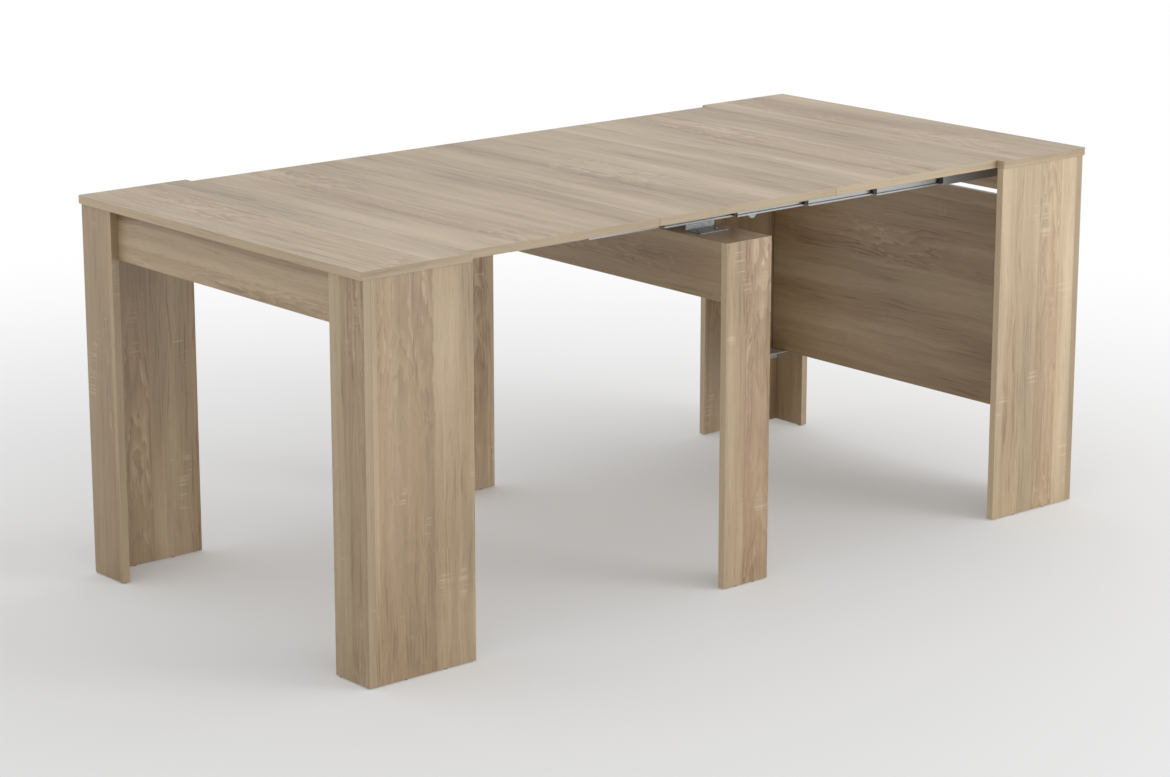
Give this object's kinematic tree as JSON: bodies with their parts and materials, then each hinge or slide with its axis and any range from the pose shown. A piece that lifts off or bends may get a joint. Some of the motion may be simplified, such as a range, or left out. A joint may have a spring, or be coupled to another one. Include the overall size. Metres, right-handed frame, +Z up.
{
  "type": "extending table",
  "caption": "Console table that draws out on nested aluminium slides to a dining table, with lift-out leaves, box-shaped end supports and a middle frame that follows.",
  "frame": {"origin": "on the floor, below the middle of the drawn-out table", "axes": "+X along the length towards the far end with the leaf store, +Y to the left seen from the near end, +Z up"},
  "size_m": [1.848, 0.9, 0.752],
  "materials": {
    "oak_melamine": "light sawn-oak grain, satin melamine",
    "aluminium": "satin extruded",
    "zinc": "zinc plated",
    "black_plastic": "matt moulded",
    "glide_plastic": "matt moulded",
    "beech": "raw wood"
  },
  "bodies": {
    "far_end": {"far_top": "oak_melamine", "far_apron": "oak_melamine", "far_side_left": "oak_melamine", "far_side_right": "oak_melamine", "far_return_left": "oak_melamine", "far_return_right": "oak_melamine", "far_back_panel": "oak_melamine", "far_cam_fittings": "zinc", "far_dowels": "beech", "far_glides": "glide_plastic", "leaf_ledges": "zinc", "slide_1_left": "aluminium", "slide_1_right": "aluminium", "slide_1_caps": "black_plastic"},
    "near_end": {"near_top": "oak_melamine", "near_apron": "oak_melamine", "near_side_left": "oak_melamine", "near_side_right": "oak_melamine", "near_return_left": "oak_melamine", "near_return_right": "oak_melamine", "near_cam_fittings": "zinc", "near_dowels": "beech", "near_glides": "glide_plastic", "slide_9_left": "aluminium", "slide_9_right": "aluminium"},
    "middle_frame": {"bridge_board": "oak_melamine", "bridge_rail_far": "oak_melamine", "bridge_rail_near": "oak_melamine", "middle_leg_left": "oak_melamine", "middle_leg_right": "oak_melamine", "bridge_cam_fittings": "zinc", "slide_bracket_left": "zinc", "slide_bracket_right": "zinc", "bracket_screws": "zinc", "middle_glides": "glide_plastic", "slide_5_left": "aluminium", "slide_5_right": "aluminium", "slide_5_caps": "black_plastic"},
    "stage_2": {"slide_2_left": "aluminium", "slide_2_right": "aluminium", "slide_2_caps": "black_plastic"},
    "stage_3": {"slide_3_left": "aluminium", "slide_3_right": "aluminium", "slide_3_caps": "black_plastic"},
    "stage_4": {"slide_4_left": "aluminium", "slide_4_right": "aluminium", "slide_4_caps": "black_plastic", "slide_stops": "zinc"},
    "stage_6": {"slide_6_left": "aluminium", "slide_6_right": "aluminium", "slide_6_caps": "black_plastic"},
    "stage_7": {"slide_7_left": "aluminium", "slide_7_right": "aluminium", "slide_7_caps": "black_plastic"},
    "stage_8": {"slide_8_left": "aluminium", "slide_8_right": "aluminium", "slide_8_caps": "black_plastic"},
    "leaf_near": {"leaf_near": "oak_melamine"},
    "leaf_middle": {"leaf_middle": "oak_melamine"},
    "leaf_far": {"leaf_far": "oak_melamine"}
  },
  "joints": [
    {"name": "closing", "type": "slide", "parent": "far_end", "child": "near_end", "axis": [1, 0, 0], "range_m": [0, 1.357]},
    {"name": "slide_2_run", "type": "slide", "parent": "far_end", "child": "stage_2", "axis": [1, 0, 0], "range_m": [0, 0.1697]},
    {"name": "slide_3_run", "type": "slide", "parent": "far_end", "child": "stage_3", "axis": [1, 0, 0], "range_m": [0, 0.3393]},
    {"name": "slide_4_run", "type": "slide", "parent": "far_end", "child": "stage_4", "axis": [1, 0, 0], "range_m": [0, 0.5089]},
    {"name": "slide_5_run", "type": "slide", "parent": "far_end", "child": "middle_frame", "axis": [1, 0, 0], "range_m": [0, 0.6785]},
    {"name": "slide_6_run", "type": "slide", "parent": "far_end", "child": "stage_6", "axis": [1, 0, 0], "range_m": [0, 0.8482]},
    {"name": "slide_7_run", "type": "slide", "parent": "far_end", "child": "stage_7", "axis": [1, 0, 0], "range_m": [0, 1.0178]},
    {"name": "slide_8_run", "type": "slide", "parent": "far_end", "child": "stage_8", "axis": [1, 0, 0], "range_m": [0, 1.1874]},
    {"name": "leaf_near_lift_off", "type": "slide", "parent": "far_end", "child": "leaf_near", "axis": [0.9723, 0, 0.2335], "range_m": [0, 1.1622]},
    {"name": "leaf_middle_lift_off", "type": "slide", "parent": "far_end", "child": "leaf_middle", "axis": [0.6399, 0, 0.7685], "range_m": [0, 1.0596]},
    {"name": "leaf_far_lift_off", "type": "slide", "parent": "far_end", "child": "leaf_far", "axis": [0.3843, 0, 0.9232], "range_m": [0, 0.588]}
  ],
  "couplings": [
    {"joint": "slide_2_run", "follows": "closing", "ratio": 0.125},
    {"joint": "slide_3_run", "follows": "closing", "ratio": 0.25},
    {"joint": "slide_4_run", "follows": "closing", "ratio": 0.375},
    {"joint": "slide_5_run", "follows": "closing", "ratio": 0.5},
    {"joint": "slide_6_run", "follows": "closing", "ratio": 0.625},
    {"joint": "slide_7_run", "follows": "closing", "ratio": 0.75},
    {"joint": "slide_8_run", "follows": "closing", "ratio": 0.875},
    {"joint": "leaf_near_lift_off", "follows": "closing", "ratio": 0.85638},
    {"joint": "leaf_middle_lift_off", "follows": "closing", "ratio": 0.78077},
    {"joint": "leaf_far_lift_off", "follows": "closing", "ratio": 0.43327}
  ]
}
